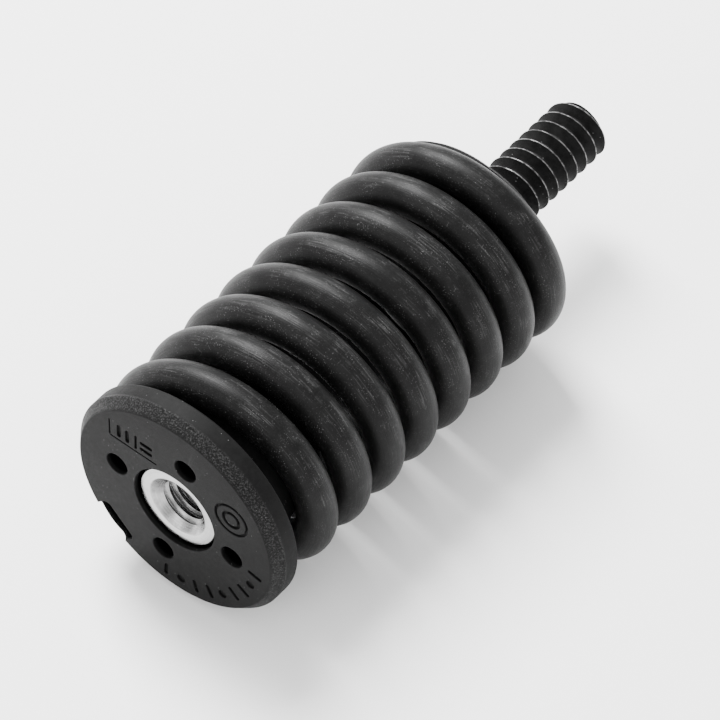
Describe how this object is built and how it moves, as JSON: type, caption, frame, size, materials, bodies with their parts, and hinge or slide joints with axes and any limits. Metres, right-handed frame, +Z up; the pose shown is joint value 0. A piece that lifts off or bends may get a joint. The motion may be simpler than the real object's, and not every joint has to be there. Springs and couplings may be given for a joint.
{
  "type": "vibration dampener",
  "caption": "Spring mount with a coil spring between two moulded plugs, one with a threaded insert and one with a threaded stud, that isolates vibration.",
  "frame": {"origin": "centre of the insert plug's end face, on the spring's axis", "axes": "+Y along the spring's axis from the insert plug to the stud's tip, +Z up with the mount lying level"},
  "size_m": [0.022, 0.0563, 0.022],
  "materials": {
    "plug_nylon": "glass-filled nylon, matte, fine grain on the bevel",
    "insert_steel": "bright turned steel",
    "spring_steel": "satin black coating with fine scuffs",
    "stud_steel": "black phosphate, bright on the thread crests"
  },
  "bodies": {
    "insert_end": {"insert_plug": "plug_nylon", "threaded_insert": "insert_steel"},
    "spring": {"coil_spring": "spring_steel"},
    "stud_end": {"stud_plug": "plug_nylon", "threaded_stud": "stud_steel"}
  },
  "joints": [
    {"name": "axial_travel", "type": "slide", "parent": "insert_end", "child": "spring", "axis": [0, 1, 0], "range_m": [-0.0015, 0.001], "stiffness_N_per_m": 9000, "deforming": ["coil_spring"]},
    {"name": "tilt", "type": "hinge", "parent": "spring", "child": "stud_end", "pos_m": [0, 0.0285, 0], "axis": [1, 0, 0], "range_deg": [-6, 6], "stiffness_Nm_per_rad": 0.6, "deforming": ["coil_spring"]}
  ]
}
